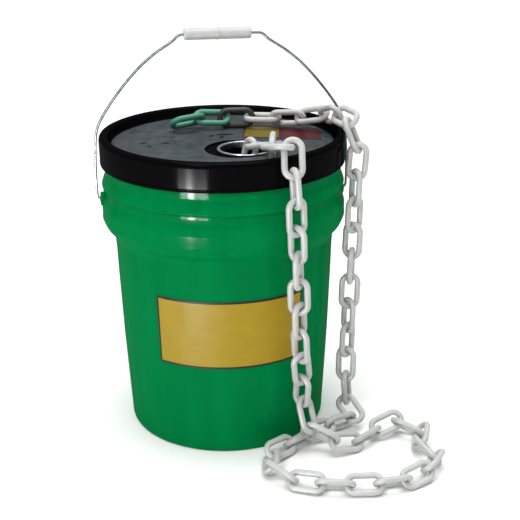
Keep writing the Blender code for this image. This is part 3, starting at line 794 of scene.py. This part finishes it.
class PAILCHAIN_OT_ring(Operator):
    """Turns the plated ring that lines the hole in the lid"""
    bl_idname = "pailchain.ring"
    bl_label = "Hole ring"

    def execute(self, context):
        mesh = bmesh.new()
        turn_profile(mesh, rounded(RING_PROFILE, 6), 128, (HOLE_X, HOLE_Y))
        bmesh.ops.remove_doubles(mesh, verts=mesh.verts[:], dist=1e-6)
        ring = piece("plated_ring", mesh, plated_steel(), 50.0)
        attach(ring, "pail")
        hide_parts("hole_ring")
        return {"FINISHED"}


class PAILCHAIN_OT_label(Operator):
    """Wraps the bare yellow label round the front and lays the bare sticker on the lid"""
    bl_idname = "pailchain.label"
    bl_label = "Label and sticker"

    def execute(self, context):
        settings = context.scene.pail_chain

        def on_wall(u, v):
            angle = LABEL_FROM + (LABEL_TO - LABEL_FROM) * u
            height = LABEL_LOW + (LABEL_HIGH - LABEL_LOW) * v
            spot = front_point(angle, wall_radius(height), height)
            turn = angle + FRONT_TURN
            return spot, Vector((math.sin(turn), -math.cos(turn), 0.0))

        finish = vinyl_film("yellow_vinyl_printed", settings.label_colour, linear("#2A2118"),
                            LABEL_SIZE, LABEL_LINE, LABEL_CLOUD)
        label = film("label_film", on_wall, 12, 64, finish)
        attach(label, "pail")
        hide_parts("label")

        def on_panel(u, v):
            corners = [front_rotated(*STICKER[k]) for k in range(4)]
            low = corners[0].lerp(corners[1], u)
            high = corners[3].lerp(corners[2], u)
            spot = low.lerp(high, v)
            return Vector((spot.x, spot.y, PANEL_TOP - 0.3 * MM)), Vector((0.0, 0.0, 1.0))

        two_tone = vinyl_film("two_colour_vinyl_printed", linear("#6C601C"), linear("#3A1C20"),
                              STICKER_SIZE, STICKER_LINE, STICKER_CLOUD,
                              (0.46, linear("#4A1620")))
        sticker = film("lid_sticker", on_panel, 4, 24, two_tone)
        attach(sticker, "pail")
        return {"FINISHED"}


class PAILCHAIN_OT_bail(Operator):
    """Bends the bail from one length of drawn wire, hooked into both ears"""
    bl_idname = "pailchain.bail"
    bl_label = "Bail wire"

    def execute(self, context):
        settings = context.scene.pail_chain
        half = rounded(BAIL_ROUTE, 6)
        line = [Vector((AXIS_X + p.x, AXIS_Y, PIVOT_HEIGHT + p.y)) for p in half]
        line += [Vector((AXIS_X - p.x, AXIS_Y, PIVOT_HEIGHT + p.y)) for p in reversed(half)]
        mesh = bmesh.new()
        tube(mesh, line, settings.wire / 2, 18)
        wire = piece("bail_wire_drawn", mesh, drawn_wire(), 50.0)
        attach(wire, "bail")
        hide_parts("bail_wire")
        return {"FINISHED"}


class PAILCHAIN_OT_grip(Operator):
    """Turns the white roller grip with the moulded ridge round its middle"""
    bl_idname = "pailchain.grip"
    bl_label = "Grip"

    def execute(self, context):
        half = (GRIP_HIGH.x - GRIP_LOW.x) / 2 / MM
        # Radius, place along the grip and rounding: the bore, one end, the ridge, the other end
        points = ((2.4, -half, 0.0), (5.6, -half, 0.6), (6.9, -half + 1.3, 0.9),
                  (7.05, -half + 9.0, 2.0), (6.95, -1.6, 0.5), (7.5, -0.9, 0.4), (7.5, 0.9, 0.4),
                  (6.95, 1.6, 0.5), (7.05, half - 9.0, 2.0), (6.9, half - 1.3, 0.9),
                  (5.6, half, 0.6), (2.4, half, 0.0), (2.4, -half, 0.0))
        mesh = bmesh.new()
        turn_profile(mesh, rounded(points, 3), 64)
        bmesh.ops.remove_doubles(mesh, verts=mesh.verts[:], dist=1e-6)
        middle = (GRIP_LOW + GRIP_HIGH) / 2
        place = Matrix.Translation(middle) @ Matrix.Rotation(math.pi / 2, 4, "Y")
        bmesh.ops.transform(mesh, matrix=place, verts=mesh.verts)
        finish = chain_polyethylene("white_polyethylene_grip", linear("#BDBDBC"), 0.1)
        grip = piece("grip_roller", mesh, finish, 40.0)
        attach(grip, "grip")
        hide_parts("grip")
        return {"FINISHED"}


class PAILCHAIN_OT_chain(Operator):
    """Moulds one detailed link and sets it at every link of the strand"""
    bl_idname = "pailchain.chain"
    bl_label = "Chain"

    def execute(self, context):
        settings = context.scene.pail_chain
        white = chain_polyethylene("white_polyethylene_links", settings.chain_colour, 0.12)
        teal = chain_polyethylene("teal_polyethylene_link", settings.end_colour, 0.05)
        dark = chain_polyethylene("dark_polyethylene_link", linear("#2C3030"), 0.0)
        names = sorted(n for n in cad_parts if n.startswith("link_"))
        shared = piece("link_pattern", link_mesh(settings.stock, 14, 3, 18), white, 60.0)
        pattern = shared.data
        bpy.data.objects.remove(shared, do_unlink=True)
        special = {"link_01": (teal, "teal_plastic"), "link_02": (teal, "teal_plastic"),
                   "link_03": (dark, "dark_plastic")}
        for name in names:
            finish, slot = special.get(name, (white, "white_plastic"))
            link = set_link("moulded_" + name, pattern, finish, link_place(name))
            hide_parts(name)
        for number, (middle, along, face) in enumerate(HOLE_LINKS):
            spot = front_rotated(middle[0], middle[1])
            spot.z = middle[2] * MM
            turn = Matrix.Rotation(FRONT_TURN, 3, "Z")
            long_way, outward = turn @ Vector(along).normalized(), turn @ Vector(face).normalized()
            width = outward.cross(long_way)
            axes = Matrix((long_way, width, long_way.cross(width))).transposed()
            place = Matrix.Translation(spot) @ axes.to_4x4()
            link = set_link("hole_link_%d" % (number + 1), pattern, white, place)
        return {"FINISHED"}


class PAILCHAIN_OT_heap(Operator):
    """Fills the pail with the hidden chain: a settled mound with loose links lying on it"""
    bl_idname = "pailchain.heap"
    bl_label = "Heap inside"

    def execute(self, context):
        settings = context.scene.pail_chain
        chance = random.Random(7)
        peak = front_rotated(*HEAP_PLACE)
        line = [Vector((r * MM, z * MM)) for r, z in HEAP_OUTLINE]
        for step in range(HEAP_ROWS + 1):
            share = 1.0 - step / HEAP_ROWS
            rise = HEAP_RISE * (1 - share) ** HEAP_ROUNDING
            line.append(Vector((HEAP_RADIUS * share, HEAP_SHOULDER + rise)))
        mound = bmesh.new()
        rings = turn_profile(mound, line, 96, (AXIS_X, AXIS_Y))
        for step, ring in enumerate(rings[len(HEAP_OUTLINE):]):
            share = 1.0 - step / HEAP_ROWS
            for vert in ring:
                vert.co.x += (peak.x - AXIS_X) * (1 - share)
                vert.co.y += (peak.y - AXIS_Y) * (1 - share)
                if 0.0 < share < 0.97:
                    vert.co.z += chance.uniform(-HEAP_BUMPS, HEAP_BUMPS)
        finish = chain_polyethylene("white_polyethylene_heap", settings.chain_colour, 0.05)
        base = piece("heap_mound", mound, finish, 60.0)
        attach(base, "pail")
        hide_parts("chain_heap")
        loose = bmesh.new()
        for _ in range(LOOSE_LINKS):
            reach = LOOSE_REACH * math.sqrt(chance.random())
            angle = chance.uniform(0.0, 2 * math.pi)
            x, y = AXIS_X + reach * math.cos(angle), AXIS_Y + reach * math.sin(angle)
            away = math.hypot(x - peak.x, y - peak.y)
            near = max(0.0, 1.0 - away / LOOSE_SPREAD)
            height = HEAP_SHOULDER + HEAP_RISE * near ** HEAP_ROUNDING
            one = link_mesh(settings.stock, 6, 2, 8)
            tilt = Matrix.Rotation(chance.uniform(0.0, 2 * math.pi), 4, "Z")
            tilt = tilt @ Matrix.Rotation(chance.uniform(-0.5, 0.5), 4, "Y")
            tilt = tilt @ Matrix.Rotation(chance.uniform(-0.9, 0.9), 4, "X")
            rest = Matrix.Translation((x, y, height - chance.uniform(1.0, 6.0) * MM))
            bmesh.ops.transform(one, matrix=rest @ tilt, verts=one.verts)
            data = bpy.data.meshes.new("one")
            one.to_mesh(data)
            one.free()
            loose.from_mesh(data)
            bpy.data.meshes.remove(data)
        links = piece("heap_links", loose, finish, 60.0)
        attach(links, "pail")
        return {"FINISHED"}


class PAILCHAIN_OT_stage(Operator):
    """Sets the pale floor, the soft studio lights and the camera"""
    bl_idname = "pailchain.stage"
    bl_label = "Stage"

    def execute(self, context):
        scene = context.scene
        ground = bmesh.new()
        bmesh.ops.create_grid(ground, x_segments=4, y_segments=4, size=FLOOR_REACH)
        floor = piece("pale_floor", ground, pale_floor())
        world = bpy.data.worlds.new("soft_room")
        world.use_nodes = True
        sky = world.node_tree.nodes["Background"]
        sky.inputs["Color"].default_value = linear("#FFFFFF")
        sky.inputs["Strength"].default_value = SKY_STRENGTH
        scene.world = world
        scene.view_settings.view_transform = "Standard"
        for name, place, aim, size, power, lit in STUDIO_LIGHTS:
            data = bpy.data.lights.new(name, "AREA")
            data.shape = "RECTANGLE"
            data.size, data.size_y = size
            data.energy = power
            lamp = bpy.data.objects.new(name, data)
            lamp.location = place
            look = Vector(aim) - Vector(place)
            lamp.rotation_euler = look.to_track_quat("-Z", "Y").to_euler()
            lamp.visible_diffuse = lit
            scene.collection.objects.link(lamp)
        data = bpy.data.lights.new("overhead_light", "SUN")
        data.energy = OVERHEAD_POWER
        data.angle = OVERHEAD_SPREAD
        overhead = bpy.data.objects.new("overhead_light", data)
        overhead.location = (0.0, 0.0, 3.0)
        scene.collection.objects.link(overhead)
        data = bpy.data.cameras.new("photo_camera")
        data.lens = CAMERA_LENS
        data.sensor_width = CAMERA_SENSOR
        data.clip_end = CAMERA_CLIP
        camera = bpy.data.objects.new("photo_camera", data)
        turn = Matrix.Rotation(CAMERA_TURN - CAMERA_PAN, 4, "Z")
        pitch = Matrix.Rotation(math.pi / 2 - CAMERA_PITCH, 4, "X")
        roll = Matrix.Rotation(CAMERA_ROLL, 4, "Z")
        camera.matrix_world = Matrix.Translation(CAMERA_PLACE) @ turn @ pitch @ roll
        scene.collection.objects.link(camera)
        scene.camera = camera
        return {"FINISHED"}


STEPS = ("pail", "lid", "ring", "label", "bail", "grip", "chain", "heap", "stage")


class PAILCHAIN_PT_build(Panel):
    """Lists every step of the pail of chain"""
    bl_idname = "PAILCHAIN_PT_build"
    bl_label = "Pail of Chain"
    bl_space_type = "VIEW_3D"
    bl_region_type = "UI"
    bl_category = "Pail of Chain"

    def draw(self, context):
        settings = context.scene.pail_chain
        for name in ("pail_colour", "lid_colour", "chain_colour", "end_colour", "label_colour",
                     "turn_sides", "stock", "wire"):
            self.layout.prop(settings, name)
        for name in STEPS:
            self.layout.operator("pailchain." + name)


CLASSES = (
    PailSettings, PAILCHAIN_OT_pail, PAILCHAIN_OT_lid, PAILCHAIN_OT_ring, PAILCHAIN_OT_label,
    PAILCHAIN_OT_bail, PAILCHAIN_OT_grip, PAILCHAIN_OT_chain, PAILCHAIN_OT_heap,
    PAILCHAIN_OT_stage, PAILCHAIN_PT_build,
)


def register():
    for cls in CLASSES:
        bpy.utils.register_class(cls)
    bpy.types.Scene.pail_chain = PointerProperty(type=PailSettings)


def unregister():
    del bpy.types.Scene.pail_chain
    for cls in reversed(CLASSES):
        bpy.utils.unregister_class(cls)


def main():
    register()
    for name in STEPS:
        getattr(bpy.ops.pailchain, name)()


if __name__ == "__main__":
    main()
